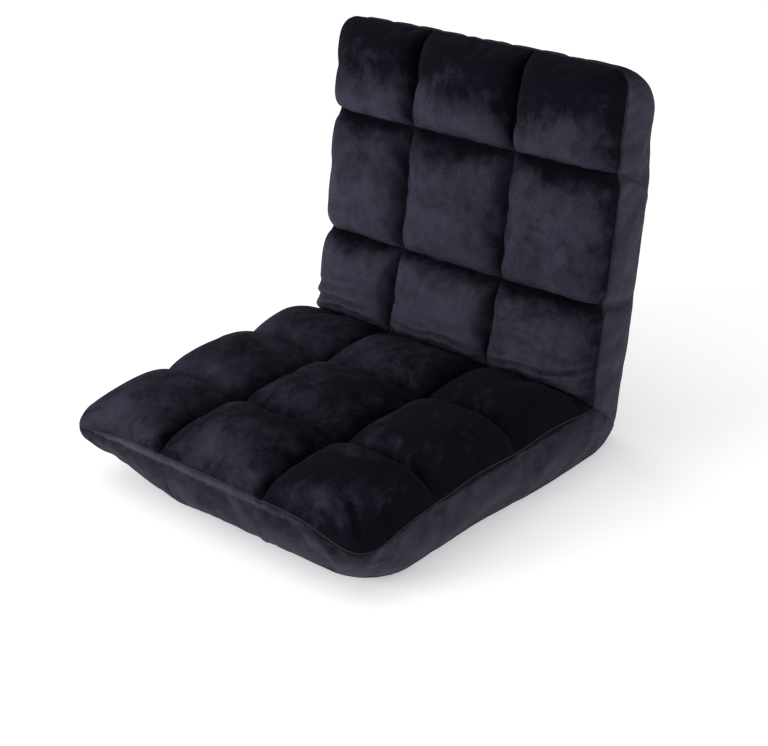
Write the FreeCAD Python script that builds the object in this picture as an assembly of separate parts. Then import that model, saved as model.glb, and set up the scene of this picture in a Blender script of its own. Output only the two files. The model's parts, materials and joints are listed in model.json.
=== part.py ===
import FreeCAD, Part
import math
import os

# Folding floor chair: a quilted seat and back on a steel tube frame, joined by two ratchet hinges.
# Millimetres. +X is to the sitter's left, the nose of the seat points to -Y, and +Z is up.
# The floor is z = 0. Until the last step y is measured from the hinge axis.

# Outline of the whole chair
SEAM_HALF_WIDTH = 254.0      # from the middle to the seam round the quilted face
BOTTOM_HALF_WIDTH = 240.0    # the bottom and rear cloths are narrower than the quilted face
AXIS_HEIGHT = 40.0           # hinge axis above the floor, and in front of the back's rear face
LEAN = 8.0                   # degrees that the back leans from upright at the first notch
CLOTH = 1.2                  # thickness of a cloth panel
REST_GAP = 0.3               # clearance between pieces that lie on each other

# Seat
NOSE = 508.0                 # hinge axis to the seam along the front edge
SEAT_SEAM_HEIGHT = 75.0      # seam between the quilted face and the gusset
FOLD_REACH = 64.0            # hinge axis forward to the crease between seat and back
FOLD_HEIGHT = 98.0           # height of that crease
SEAT_REAR_CHANNEL = 206.0    # hinge axis to the channel behind the middle row
SEAT_FRONT_CHANNEL = 369.0   # hinge axis to the channel behind the front row
NOSE_BOTTOM = 432.0          # where the underside leaves the floor towards the nose
NOSE_SLOPE = 21.0            # the nose draws back this far a quarter of the way down to the floor
NOSE_BULGE = 1.0
FRONT_CORNER_RADIUS = 30.0
MIDDLE_CORNER_RADIUS = 42.0
LOWER_CORNER_RADIUS = 56.0
BOTTOM_CORNER_RADIUS = 66.0
SIDE_BULGE = 3.0             # how far the gusset swells past the seam

# Back, measured along its own length from the hinge axis
BACK_TOP = 486.0             # seam round the top of the back
BACK_SEAM_DEPTH = 37.0       # the quilted face's seam, in front of the hinge axis
BACK_LOW_CHANNEL = 170.0
BACK_HIGH_CHANNEL = 348.0
TOP_CORNER_RADIUS = 36.0
TOP_SIDE_RADIUS = 44.0
REAR_CORNER_RADIUS = 50.0
TOP_PUFF = 2.0               # the top gusset swells past its seam
TOP_SETBACK = 24.0           # the rear face ends this far below the seam
TOP_SHOULDER = 6.0

# Quilting
BANDS = 7                    # level bands that a foam block's side is made of
CHANNEL_OFFSET = 91.0        # the two lengthwise channels, either side of the middle
SEAM_HEIGHT = 2.5            # filling left at the outer seam
CHANNEL_FILL = 19.0          # filling left under a sewn channel
SEAT_CREST = 62.0            # crest of a seat tuft above its seam
SEAT_VALLEY = 26.0
LOW_CREST = 54.0             # crests of the back's three rows
MIDDLE_CREST = 50.0
HEAD_CREST = 46.0
HEAD_TOP_FILL = 16.0         # filling left where the head row meets the top gusset
BACK_VALLEY = 32.0
CHANNEL_CREST_SHARE = 0.52   # a tuft's height where it meets a lengthwise channel

# Steel frame
TUBE_RADIUS = 9.5
TUBE_WALL = 1.2
CROSS_TUBE_RADIUS = 8.0
BEND_RADIUS = 55.0
HINGE_OFFSET = 200.0         # middle to the hinge's centre plane
SEAT_FRAME_FRONT = 436.0     # hinge axis to the front run of the seat tube
BACK_FRAME_TOP = 428.0       # hinge axis to the top run of the back tube
SEAT_CROSS_PLACES = (150.0, 300.0)
BACK_CROSS_PLACES = (150.0, 310.0)
WELD_GAP = 0.05
GROOVE_GAP = 0.3

# Flattened tube ends
TANG_HALF_HEIGHT = 13.0
TANG_THICKNESS = 3.2
TANG_TAPER = 18.0
SEAT_TANG_START = 56.0
SEAT_TANG_END = 114.0
BACK_TANG_START = 40.0
BACK_TANG_END = 104.0
SEAT_RIVET_PLACES = (70.0, 98.0)
BACK_RIVET_PLACES = (54.0, 86.0)

# Ratchet hinge
NOTCHES = 14                 # holding positions from the first notch to flat
UPRIGHT = 90.0                # degrees from flat
FLAT_TRAVEL = UPRIGHT - LEAN
PITCH = FLAT_TRAVEL / (NOTCHES - 1)
RELEASE_TRAVEL = PITCH       # the back is pulled this far forward to free the pawls
CHEEK_RADIUS = 34.5
CHEEK_THICKNESS = 2.0
CHEEK_TAIL = 100.0
CHEEK_TAIL_RADIUS = 14.0
SECTOR_THICKNESS = 3.0
SIDE_PLAY = 0.2
HUB_RADIUS = 18.0
TOOTH_ROOT = 22.0
TOOTH_TIP = 24.0
ARM_HALF_WIDTH = 12.0
ARM_END_HALF_WIDTH = 10.0
ARM_LENGTH = 92.0
PIVOT_RADIUS = 5.0
PIN_RADIUS = 3.0
RUNNING_CLEARANCE = 0.05
PAWL_PIN_REACH = 31.4        # pawl pin in front of the hinge axis
PAWL_PIN_RISE = 4.8          # and above it
PAWL_BOSS_RADIUS = 6.5
PAWL_POLAR = 215.0           # direction of the pawl's middle tooth from the hinge axis
PAWL_TRAVEL = 8.0            # degrees between held off and home
PAWL_BACK_DROP = 22.2        # pawl pin down to the corner behind the toe
PAWL_TOE_REACH = 12.6
PAWL_TOE_DROP = 26.6
MESH_CLEARANCE = 0.15
POST_REACH = 46.0            # spring post in front of the hinge axis
POST_DROP = 13.0
POST_RADIUS = 2.0
SPRING_THICKNESS = 0.8
RIVET_RADIUS = 3.0
RIVET_HEAD_RADIUS = 5.5
RIVET_HEAD_HEIGHT = 2.2
PIVOT_HEAD_RADIUS = 9.0
HEAD_CROWN_SHARE = 0.6       # flat middle of a rivet head, as a share of its radius

# Rear cover opening
FLAP_HEM = 240.0             # lower edge of the loose flap, along the back
FLAP_TOP = 452.0
FLAP_HALF_WIDTH = 225.0
FLAP_CORNER_RADIUS = 44.0
ZIP_HALF_WIDTH = 205.0
ZIP_PLACE = 262.0
ZIP_TAPE_WIDTH = 22.0
ZIP_DEPTH = 0.6

FAR = 900.0
CHEEK_INNER = SECTOR_THICKNESS / 2 + SIDE_PLAY
CHEEK_OUTER = CHEEK_INNER + CHEEK_THICKNESS
BACK_TUBE_OFFSET = HINGE_OFFSET - SECTOR_THICKNESS / 2 - WELD_GAP - TANG_THICKNESS / 2
REAR_CLOTH_FACE = AXIS_HEIGHT - 2 * CLOTH - ZIP_DEPTH
BACK_PAD_REAR = REAR_CLOTH_FACE - CLOTH - REST_GAP
SEAT_PAD_BOTTOM = CLOTH + REST_GAP
MITRE_ANGLE = math.degrees(math.atan2(FOLD_HEIGHT - AXIS_HEIGHT, FOLD_REACH))
MITRE_CLEARANCE = 0.7
BACK_MITRE_ANGLE = MITRE_ANGLE + RELEASE_TRAVEL + MITRE_CLEARANCE - LEAN
X_AXIS = FreeCAD.Vector(1, 0, 0)
ORIGIN = FreeCAD.Vector(0, 0, 0)


def polar(radius, degrees):
    angle = math.radians(degrees)
    return (radius * math.cos(angle), radius * math.sin(angle))


def at(x, y, z):
    return FreeCAD.Vector(x, y, z)


def fused(shapes):
    result = shapes[0]
    for shape in shapes[1:]:
        result = result.fuse(shape)
    return result.removeSplitter()


def without(shape, tools):
    for tool in tools:
        shape = shape.cut(tool)
    return shape


def box(low, high):
    size = [high[i] - low[i] for i in range(3)]
    return Part.makeBox(size[0], size[1], size[2], at(*low))


def rod(radius, x_low, x_high, y, z):
    return Part.makeCylinder(radius, x_high - x_low, at(x_low, y, z), X_AXIS)


def plate(points, x_low, x_high):
    corners = [at(x_low, y, z) for y, z in points]
    face = Part.Face(Part.makePolygon(corners + corners[:1]))
    return face.extrude(at(x_high - x_low, 0, 0))


def seat_point(x, along, height):
    """A point of the seat: along runs forward from the hinge axis, height up from the seam plane."""
    return at(x, -along, SEAT_SEAM_HEIGHT + REST_GAP + height)


def back_point(x, along, height):
    """A point of the back stood upright on the hinge axis: height runs forward from the seam plane."""
    return at(x, -(BACK_SEAM_DEPTH + REST_GAP + height), along)


# Soft forms

def half_crown(edge, crest):
    """The point half way up the arc that leaves the crest level and ends at the edge."""
    run = edge[0] - crest[0]
    rise = crest[1] - edge[1]
    radius = (run * run + rise * rise) / (2 * rise)
    half_turn = math.atan2(abs(run), radius - rise) / 2
    side = 1.0 if run > 0 else -1.0
    return (crest[0] + side * radius * math.sin(half_turn),
            crest[1] - radius + radius * math.cos(half_turn))


def tuft_section(place, x, foot, start, crest, end):
    """Closed outline across one tuft, from its foot at the rear over the crest to its far edge."""
    rear = half_crown(start, crest)
    front = half_crown(end, crest)
    spot = [place(x, a, h) for a, h in (foot, start, rear, crest, front, end, (end[0], 0.0))]
    edges = [
        Part.LineSegment(spot[0], spot[1]).toShape(),
        Part.Arc(spot[1], spot[2], spot[3]).toShape(),
        Part.Arc(spot[3], spot[4], spot[5]).toShape(),
        Part.LineSegment(spot[5], spot[6]).toShape(),
        Part.LineSegment(spot[6], spot[0]).toShape(),
    ]
    return Part.Wire(edges)


def mixed(low, high, share):
    return low + (high - low) * share


def corner_drop(x, radius):
    """How far a rounded corner has drawn back the far edge at this distance from the middle."""
    inside = abs(x) - (SEAM_HALF_WIDTH - radius)
    if inside <= 0.0:
        return 0.0
    return radius - math.sqrt(max(radius * radius - inside * inside, 0.0))


def tuft(place, x_start, x_end, rim_start, rim_end, foot, start, crest, end, corner):
    """One stuffed tuft, lofted across the chair between two lines of stitching."""
    sections = []
    for step in (-1.0, -0.94, -0.8, -0.5, 0.0, 0.5, 0.8, 0.94, 1.0):
        share = (1.0 - abs(step) ** 2.4) ** 0.55
        rim = rim_start if step < 0 else rim_end
        x = mixed(x_start, x_end, (step + 1.0) / 2)
        heights = [mixed(rim[i], value[1], share) for i, value in enumerate((start, crest, end))]
        far = end[0] - corner_drop(x, corner)
        sections.append(tuft_section(place, x, foot, (start[0], heights[0]),
                                     (crest[0], heights[1]), (far, heights[2])))
    return Part.makeLoft(sections, True, True)


def quilted_row(place, foot, start, crest, end, corner=0.0):
    """Three tufts side by side, sewn down between them and drawn in to the seam at both sides."""
    outer_rim = (min(SEAM_HEIGHT, start[1]), 3 * SEAM_HEIGHT, min(SEAM_HEIGHT, end[1]))
    inner_rim = (min(CHANNEL_FILL, start[1]), crest[1] * CHANNEL_CREST_SHARE,
                 min(CHANNEL_FILL, end[1]))
    edges = (-SEAM_HALF_WIDTH, -CHANNEL_OFFSET, CHANNEL_OFFSET, SEAM_HALF_WIDTH)
    rims = (outer_rim, inner_rim, inner_rim, outer_rim)
    tufts = []
    for i in range(3):
        tufts.append(tuft(place, edges[i], edges[i + 1], rims[i], rims[i + 1],
                          foot, start, crest, end, corner))
    return fused(tufts)


def panel_outline(place, half_width, near, far, radius):
    """A cloth or pad outline: square at the fold, rounded at the two far corners."""
    slant = radius * math.sqrt(0.5)
    inner_x = half_width - radius
    inner_y = far - radius
    left = Part.LineSegment(place(-half_width, near), place(-half_width, inner_y)).toShape()
    left_arc = Part.Arc(place(-half_width, inner_y), place(-inner_x - slant, inner_y + slant),
                        place(-inner_x, far)).toShape()
    front = Part.LineSegment(place(-inner_x, far), place(inner_x, far)).toShape()
    right_arc = Part.Arc(place(inner_x, far), place(inner_x + slant, inner_y + slant),
                         place(half_width, inner_y)).toShape()
    right = Part.LineSegment(place(half_width, inner_y), place(half_width, near)).toShape()
    rear = Part.LineSegment(place(half_width, near), place(-half_width, near)).toShape()
    return Part.Wire([left, left_arc, front, right_arc, right, rear])


def level_at(levels, height):
    """Half width, far edge and corner radius at a height, on the curve through the given levels."""
    values = []
    for column in (1, 2, 3):
        total = 0.0
        for i, row in enumerate(levels):
            term = row[column]
            for j, other in enumerate(levels):
                if j != i:
                    term *= (height - other[0]) / (row[0] - other[0])
            total += term
        values.append(total)
    return values


def padded_block(place_at, levels):
    """A foam block whose outline changes with height, with its sides in BANDS level bands."""
    wires = []
    for k in range(BANDS + 1):
        height = mixed(levels[0][0], levels[-1][0], k / BANDS)
        half, far, radius = level_at(levels, height)
        wires.append(panel_outline(place_at(height), half, 0.0, far, radius))
    return Part.makeLoft(wires, True, True)


def seat_level(z):
    return lambda x, along: at(x, -along, z)


def back_level(depth):
    return lambda x, along: at(x, -depth, along)


def seat_mitre_cutter():
    """Everything behind the seat's slanted rear face."""
    slope = polar(FAR, 180.0 - MITRE_ANGLE)
    points = [(-1.0, -FAR), (-1.0, AXIS_HEIGHT), (slope[0], AXIS_HEIGHT + slope[1]),
              (FAR, FAR), (FAR, -FAR)]
    return plate(points, -FAR, FAR)


def back_mitre_cutter():
    """Everything below the back's slanted lower face."""
    slope = polar(FAR, 180.0 - BACK_MITRE_ANGLE)
    points = [(FAR, 1.0), (0.0, 1.0), slope, (-FAR, -FAR), (FAR, -FAR)]
    return plate(points, -FAR, FAR)


def frame_groove(place, offset, far, radius, near):
    """Footprint of the tube's channel: a U-shaped strip as wide as the tube and its clearance."""
    half = TUBE_RADIUS + GROOVE_GAP
    outer = Part.Face(panel_outline(place, offset + half, near, far + half, radius + half))
    inner = Part.Face(panel_outline(place, offset - half, near - 1.0, far - half, radius - half))
    return outer.cut(inner)


def seat_base_pad():
    """Foam block under the tufts, moulded round the frame, with a nose that lifts off the floor."""
    top = SEAT_SEAM_HEIGHT
    levels = (
        (SEAT_PAD_BOTTOM, BOTTOM_HALF_WIDTH, NOSE_BOTTOM, BOTTOM_CORNER_RADIUS),
        (top * 0.25, mixed(BOTTOM_HALF_WIDTH, SEAM_HALF_WIDTH, 0.8), NOSE - NOSE_SLOPE,
         LOWER_CORNER_RADIUS),
        (top * 0.6, SEAM_HALF_WIDTH + SIDE_BULGE, NOSE + NOSE_BULGE, MIDDLE_CORNER_RADIUS),
        (top, SEAM_HALF_WIDTH, NOSE, FRONT_CORNER_RADIUS),
    )
    pad = padded_block(seat_level, levels)
    pocket = TUBE_RADIUS + GROOVE_GAP
    strip = frame_groove(seat_level(AXIS_HEIGHT - pocket), HINGE_OFFSET, SEAT_FRAME_FRONT,
                         BEND_RADIUS, -1.0)
    grooves = [strip.extrude(at(0, 0, 2 * pocket))]
    half = CROSS_TUBE_RADIUS + GROOVE_GAP
    for place in SEAT_CROSS_PLACES:
        grooves.append(box((-HINGE_OFFSET, -place - half, AXIS_HEIGHT - half),
                           (HINGE_OFFSET, -place + half, AXIS_HEIGHT + half)))
    tall = CHEEK_RADIUS + 1.5
    tang_top = AXIS_HEIGHT + TANG_HALF_HEIGHT + 2.0
    for side in (-1, 1):
        low = side * HINGE_OFFSET - pocket
        high = side * HINGE_OFFSET + pocket
        grooves.append(box((low, -SEAT_TANG_END - TANG_TAPER, -1.0), (high, 1.0, tang_top)))
        grooves.append(teardrop(low, high, tall, CHEEK_TAIL, CHEEK_TAIL_RADIUS + 1.5)
                       .translated(at(0, 0, AXIS_HEIGHT)))
        grooves.append(box((low, -tall, -1.0), (high, 1.0, AXIS_HEIGHT + tall)))
    return without(pad, [seat_mitre_cutter()] + grooves)


def back_base_pad():
    """Foam block behind the back's tufts, with a channel inside for the frame."""
    rear = -BACK_PAD_REAR
    front = BACK_SEAM_DEPTH
    levels = (
        (rear, BOTTOM_HALF_WIDTH, BACK_TOP - TOP_SETBACK, REAR_CORNER_RADIUS),
        (mixed(rear, front, 0.3), SEAM_HALF_WIDTH, BACK_TOP - TOP_SHOULDER, TOP_SIDE_RADIUS),
        (mixed(rear, front, 0.7), SEAM_HALF_WIDTH + SIDE_BULGE, BACK_TOP + TOP_PUFF, TOP_SIDE_RADIUS),
        (front, SEAM_HALF_WIDTH, BACK_TOP, TOP_CORNER_RADIUS),
    )
    pad = padded_block(back_level, levels)
    pocket = TUBE_RADIUS + GROOVE_GAP
    strip = frame_groove(back_level(-pocket), BACK_TUBE_OFFSET, BACK_FRAME_TOP, BEND_RADIUS, -1.0)
    grooves = [strip.extrude(at(0, -2 * pocket, 0))]
    half = CROSS_TUBE_RADIUS + GROOVE_GAP
    for place in BACK_CROSS_PLACES:
        grooves.append(box((-BACK_TUBE_OFFSET, -half, place - half),
                           (BACK_TUBE_OFFSET, half, place + half)))
    tang = TANG_HALF_HEIGHT + 1.0
    tall = CHEEK_RADIUS + 3.0
    for side in (-1, 1):
        low = side * BACK_TUBE_OFFSET - pocket
        high = side * BACK_TUBE_OFFSET + pocket
        grooves.append(box((low, -tang, 0.0), (high, FAR, BACK_TANG_END + TANG_TAPER)))
        grooves.append(box((low - 1.0, -FAR, 0.0), (high + 4.0, FAR, tall)))
    return without(pad, [back_mitre_cutter()] + grooves)


def seat_rows():
    """The three rows of tufts across the seat, rear to front."""
    foot_rear = (SEAT_SEAM_HEIGHT - AXIS_HEIGHT) / math.tan(math.radians(MITRE_ANGLE)) + 1.0
    fold_fill = FOLD_HEIGHT - SEAT_SEAM_HEIGHT
    gap = REST_GAP / 2
    rear_edge = SEAT_REAR_CHANNEL - gap
    middle_start = SEAT_REAR_CHANNEL + gap
    middle_edge = SEAT_FRONT_CHANNEL - gap
    front_start = SEAT_FRONT_CHANNEL + gap
    rear = quilted_row(seat_point, (foot_rear, 0.0), (FOLD_REACH + 1.0, fold_fill),
                       (mixed(FOLD_REACH, rear_edge, 0.5), SEAT_CREST), (rear_edge, SEAT_VALLEY))
    middle = quilted_row(seat_point, (middle_start, 0.0), (middle_start, SEAT_VALLEY),
                         (mixed(middle_start, middle_edge, 0.5), SEAT_CREST + 3.0),
                         (middle_edge, SEAT_VALLEY))
    front = quilted_row(seat_point, (front_start, 0.0), (front_start, SEAT_VALLEY),
                        (mixed(front_start, NOSE, 0.42), SEAT_CREST - 4.0), (NOSE, SEAM_HEIGHT),
                        FRONT_CORNER_RADIUS)
    return rear, middle, front


def back_rows():
    """The three rows of tufts up the back. Each one swells lowest down, as a filled pillow hangs."""
    slope = math.tan(math.radians(BACK_MITRE_ANGLE))
    low_foot = (BACK_SEAM_DEPTH + REST_GAP) * slope + 0.5
    low_start = (BACK_SEAM_DEPTH + REST_GAP + BACK_VALLEY) * slope + 0.5
    gap = REST_GAP / 2
    low_end = BACK_LOW_CHANNEL - gap
    middle_start = BACK_LOW_CHANNEL + gap
    middle_end = BACK_HIGH_CHANNEL - gap
    head_start = BACK_HIGH_CHANNEL + gap
    low = quilted_row(back_point, (low_foot, 0.0), (low_start, BACK_VALLEY),
                      (mixed(low_start, low_end, 0.5), LOW_CREST), (low_end, BACK_VALLEY))
    middle = quilted_row(back_point, (middle_start, 0.0), (middle_start, BACK_VALLEY),
                         (mixed(middle_start, middle_end, 0.42), MIDDLE_CREST),
                         (middle_end, BACK_VALLEY - 4.0))
    head = quilted_row(back_point, (head_start, 0.0), (head_start, BACK_VALLEY - 4.0),
                       (mixed(head_start, BACK_TOP, 0.42), HEAD_CREST), (BACK_TOP, HEAD_TOP_FILL),
                       TOP_CORNER_RADIUS)
    return low, middle, head


# Cloth pieces

def seat_bottom_cloth():
    outline = panel_outline(seat_level(0.0), BOTTOM_HALF_WIDTH, REST_GAP, NOSE_BOTTOM,
                            BOTTOM_CORNER_RADIUS)
    return Part.Face(outline).extrude(at(0, 0, CLOTH))


def back_rear_cloth():
    place = back_level(-REAR_CLOTH_FACE)
    outline = panel_outline(place, BOTTOM_HALF_WIDTH, 2.0, BACK_TOP - TOP_SETBACK,
                            REAR_CORNER_RADIUS)
    return Part.Face(outline).extrude(at(0, -CLOTH, 0))


def rear_flap():
    """A loose flap over the zip, with a folded hem along its lower edge."""
    place = back_level(-AXIS_HEIGHT)
    outline = panel_outline(place, FLAP_HALF_WIDTH, FLAP_HEM, FLAP_TOP, FLAP_CORNER_RADIUS)
    sheet = Part.Face(outline).extrude(at(0, -CLOTH, 0))
    hem_depth = AXIS_HEIGHT - REAR_CLOTH_FACE - REST_GAP
    hem_low = (-FLAP_HALF_WIDTH, AXIS_HEIGHT - hem_depth, FLAP_HEM)
    hem = box(hem_low, (FLAP_HALF_WIDTH, AXIS_HEIGHT, FLAP_HEM + 9.0))
    hem = hem.makeFillet(hem_depth * 0.4, [hem.Edges[i] for i in (0, 2, 4, 6)])
    return fused([sheet, hem])


def rear_zip():
    """Zip tape with its chain of teeth, closed under the flap."""
    face = REAR_CLOTH_FACE + REST_GAP * 0.5
    half = ZIP_TAPE_WIDTH / 2
    tape = box((-ZIP_HALF_WIDTH, face, ZIP_PLACE - half), (ZIP_HALF_WIDTH, face + 0.5, ZIP_PLACE + half))
    chain = box((-ZIP_HALF_WIDTH, face, ZIP_PLACE - 2.5), (ZIP_HALF_WIDTH, face + 1.4, ZIP_PLACE + 2.5))
    return fused([tape, chain])


def corner_wrap():
    """The cover where it turns round the outside of the fold."""
    start = polar(AXIS_HEIGHT, -90.0)
    end_angle = -LEAN - 3.0
    middle_angle = (-90.0 + end_angle) / 2
    inner = AXIS_HEIGHT - CLOTH
    x = -BOTTOM_HALF_WIDTH
    outer_arc = Part.Arc(at(x, *start), at(x, *polar(AXIS_HEIGHT, middle_angle)),
                         at(x, *polar(AXIS_HEIGHT, end_angle))).toShape()
    inner_arc = Part.Arc(at(x, *polar(inner, end_angle)), at(x, *polar(inner, middle_angle)),
                         at(x, *polar(inner, -90.0))).toShape()
    end = Part.LineSegment(at(x, *polar(AXIS_HEIGHT, end_angle)),
                           at(x, *polar(inner, end_angle))).toShape()
    begin = Part.LineSegment(at(x, *polar(inner, -90.0)), at(x, *start)).toShape()
    face = Part.Face(Part.Wire([outer_arc, end, inner_arc, begin]))
    return face.extrude(at(2 * BOTTOM_HALF_WIDTH, 0, 0)).translated(at(0, 0, AXIS_HEIGHT))


# Tube frames

def tube_path(place, offset, near, far):
    """Centre line of a U tube: up one side, round two bends, across, and down the other side."""
    slant = BEND_RADIUS * math.sqrt(0.5)
    inner_x = offset - BEND_RADIUS
    inner_y = far - BEND_RADIUS
    return Part.Wire([
        Part.LineSegment(place(-offset, near), place(-offset, inner_y)).toShape(),
        Part.Arc(place(-offset, inner_y), place(-inner_x - slant, inner_y + slant),
                 place(-inner_x, far)).toShape(),
        Part.LineSegment(place(-inner_x, far), place(inner_x, far)).toShape(),
        Part.Arc(place(inner_x, far), place(inner_x + slant, inner_y + slant),
                 place(offset, inner_y)).toShape(),
        Part.LineSegment(place(offset, inner_y), place(offset, near)).toShape(),
    ])


def swept(path, radius, start, direction):
    ring = Part.Wire(Part.makeCircle(radius, start, direction))
    return path.makePipeShell([ring], True, False)


def flat_end_wire(place, offset, along, half_height, half_width):
    """Four arcs and lines round a tube end: a circle where the halves are equal, else a slot."""
    round_end = half_width
    straight = half_height - half_width
    bulge = half_width if straight > 0 else TUBE_RADIUS
    diagonal = TUBE_RADIUS * math.sqrt(0.5)
    if straight > 0:
        a = place(offset - bulge, along, -straight)
        b = place(offset - bulge, along, straight)
        c = place(offset + bulge, along, straight)
        d = place(offset + bulge, along, -straight)
        sides = [Part.LineSegment(a, b).toShape(), Part.LineSegment(c, d).toShape()]
        top = place(offset, along, straight + round_end)
        low = place(offset, along, -straight - round_end)
    else:
        a = place(offset - diagonal, along, -diagonal)
        b = place(offset - diagonal, along, diagonal)
        c = place(offset + diagonal, along, diagonal)
        d = place(offset + diagonal, along, -diagonal)
        sides = [Part.Arc(a, place(offset - bulge, along, 0.0), b).toShape(),
                 Part.Arc(c, place(offset + bulge, along, 0.0), d).toShape()]
        top = place(offset, along, TUBE_RADIUS)
        low = place(offset, along, -TUBE_RADIUS)
    return Part.Wire([sides[0], Part.Arc(b, top, c).toShape(), sides[1],
                      Part.Arc(d, low, a).toShape()])


def u_frame(place, offset, far, tang_start, tang_end, rivet_places):
    """A bent steel tube whose two ends are pressed flat and drilled for the hinge rivets."""
    near = tang_end + TANG_TAPER
    centre = lambda x, along: place(x, along, 0.0)
    path = tube_path(centre, offset, near, far)
    start = centre(-offset, near)
    direction = centre(-offset, near + 1.0) - start
    body = swept(path, TUBE_RADIUS, start, direction)
    pieces = [body]
    holes = [swept(path, TUBE_RADIUS - TUBE_WALL, start, direction)]
    half_thickness = TANG_THICKNESS / 2
    for side in (-1, 1):
        middle = side * offset
        full = flat_end_wire(place, middle, near, TUBE_RADIUS, TUBE_RADIUS)
        pressed = flat_end_wire(place, middle, tang_end, TANG_HALF_HEIGHT, half_thickness)
        tip = flat_end_wire(place, middle, tang_start, TANG_HALF_HEIGHT, half_thickness)
        pieces.append(Part.makeLoft([full, pressed], True, True))
        pieces.append(Part.makeLoft([pressed, tip], True, True))
        for along in rivet_places:
            spot = place(middle - TANG_THICKNESS, along, 0.0)
            holes.append(Part.makeCylinder(RIVET_RADIUS + WELD_GAP, 2 * TANG_THICKNESS, spot, X_AXIS))
    return without(fused(pieces), holes)


def seat_tube_point(x, along, up):
    return at(x, -along, AXIS_HEIGHT + up)


def back_tube_point(x, along, up):
    return at(x, -up, along)


def cross_tube(place, offset, along):
    """A straight tube whose ends are coped to sit against the two side tubes."""
    spot = place(-offset, along, 0.0)
    outer = Part.makeCylinder(CROSS_TUBE_RADIUS, 2 * offset, spot, X_AXIS)
    bore = Part.makeCylinder(CROSS_TUBE_RADIUS - TUBE_WALL, 2 * offset, spot, X_AXIS)
    reach = 3 * TUBE_RADIUS
    tools = [bore]
    for side in (-1, 1):
        low = place(side * offset, along - reach, 0.0)
        high = place(side * offset, along + reach, 0.0)
        tools.append(Part.makeCylinder(TUBE_RADIUS + WELD_GAP, 2 * reach, low, high - low))
    return without(outer, tools)


# Ratchet hinge, in the plane of one hinge with its axis at the origin

def teardrop(x_low, x_high, radius, reach, tail_radius):
    """A plate outline: a disc round the hinge axis that tapers forward to a smaller round end."""
    tangent = math.degrees(math.acos((radius - tail_radius) / reach))
    upper = polar(radius, 180.0 - tangent)
    lower = polar(radius, 180.0 + tangent)
    tail_upper = polar(tail_radius, 180.0 - tangent)
    tail_lower = polar(tail_radius, 180.0 + tangent)
    wire = Part.Wire([
        Part.Arc(at(x_low, *lower), at(x_low, radius, 0), at(x_low, *upper)).toShape(),
        Part.LineSegment(at(x_low, *upper),
                         at(x_low, tail_upper[0] - reach, tail_upper[1])).toShape(),
        Part.Arc(at(x_low, tail_upper[0] - reach, tail_upper[1]),
                 at(x_low, -reach - tail_radius, 0),
                 at(x_low, tail_lower[0] - reach, tail_lower[1])).toShape(),
        Part.LineSegment(at(x_low, tail_lower[0] - reach, tail_lower[1]),
                         at(x_low, *lower)).toShape(),
    ])
    return Part.Face(wire).extrude(at(x_high - x_low, 0, 0))


def stop_pin_places():
    """Where the arm's sides come to rest: one pin for flat, one for the forward release."""
    stand_off = ARM_HALF_WIDTH + PIN_RADIUS + REST_GAP
    flat_stop = (HUB_RADIUS + 5.0, -stand_off)
    forward_angle = 90.0 - LEAN + RELEASE_TRAVEL
    along = polar(HUB_RADIUS + 7.5, forward_angle)
    across = polar(stand_off, forward_angle + 90.0)
    return flat_stop, (along[0] + across[0], along[1] + across[1])


def cheek(x_low):
    """A stamped side plate with holes for the pivot, the pawl pin, the stops and the rivets."""
    x_high = x_low + CHEEK_THICKNESS
    body = teardrop(x_low, x_high, CHEEK_RADIUS, CHEEK_TAIL, CHEEK_TAIL_RADIUS)
    body = body.makeChamfer(CHEEK_THICKNESS * 0.2, body.Edges)
    holes = [rod(PIVOT_RADIUS + RUNNING_CLEARANCE, x_low - 1, x_high + 1, 0, 0)]
    for y, z in pin_places() + list(stop_pin_places()):
        holes.append(rod(PIN_RADIUS + WELD_GAP, x_low - 1, x_high + 1, y, z))
    holes.append(rod(POST_RADIUS + WELD_GAP, x_low - 1, x_high + 1, -POST_REACH, -POST_DROP))
    for along in SEAT_RIVET_PLACES:
        holes.append(rod(RIVET_RADIUS + WELD_GAP, x_low - 1, x_high + 1, -along, 0))
    return without(body, holes)


def pin_places():
    return [(-PAWL_PIN_REACH, PAWL_PIN_RISE)]


def tooth_points(grow):
    """Saw teeth, steep where the back's load pushes, as points round the hinge axis at rest."""
    points = []
    spread = math.degrees(grow / TOOTH_TIP)
    for k in range(-3, NOTCHES + 2):
        middle = PAWL_POLAR + (k + 0.5) * PITCH
        points.append(polar(TOOTH_ROOT + grow, middle - 0.5 * PITCH))
        points.append(polar(TOOTH_TIP + grow, middle - 0.38 * PITCH - spread))
        points.append(polar(TOOTH_TIP + grow, middle - 0.18 * PITCH + spread))
    points.append(polar(TOOTH_ROOT + grow, PAWL_POLAR + (NOTCHES + 2) * PITCH))
    return points


def toothed_wedge(x_low, x_high, grow):
    return plate([(0.0, 0.0)] + tooth_points(grow), x_low, x_high)


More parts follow.
